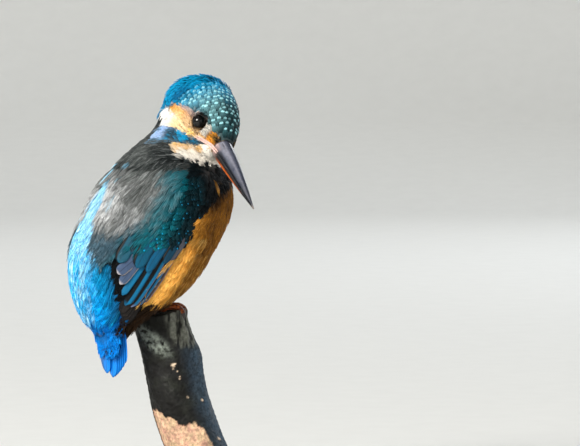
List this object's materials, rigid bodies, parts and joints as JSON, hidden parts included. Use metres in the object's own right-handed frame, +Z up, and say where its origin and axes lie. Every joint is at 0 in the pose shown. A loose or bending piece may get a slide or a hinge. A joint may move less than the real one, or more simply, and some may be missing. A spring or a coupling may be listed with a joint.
{
  "type": "kingfisher",
  "caption": "Life-size kingfisher model with a blue and orange coat and a dagger bill, upright on a short length of dead branch over a plain display stand.",
  "frame": {"origin": "middle of the underside of the stand's base", "axes": "+Z up, +X the way the bird's trunk faces, +Y the bird's left; the head is turned towards -Y"},
  "size_m": [0.096, 0.096, 0.1745],
  "materials": {
    "teal_plumage": "silky feathers",
    "blue_plumage": "silky feathers",
    "orange_plumage": "soft feathers",
    "bill_horn": "satin horn",
    "bill_orange": "satin horn",
    "eye": "wet gloss",
    "foot_skin": "scaly skin",
    "dead_wood": "rough bark",
    "stand_lacquer": "dark satin lacquer",
    "stand_steel": "brushed"
  },
  "bodies": {
    "root": {"head": "teal_plumage", "neck": "blue_plumage", "trunk": "orange_plumage", "tail": "blue_plumage", "wing_right": "teal_plumage", "wing_left": "teal_plumage", "leg_right": "foot_skin", "leg_left": "foot_skin", "eye_right": "eye", "eye_left": "eye", "bill_upper": "bill_horn", "bill_lower": "bill_orange", "perch": "dead_wood", "stand_rod": "stand_steel", "stand_base": "stand_lacquer"}
  },
  "joints": []
}
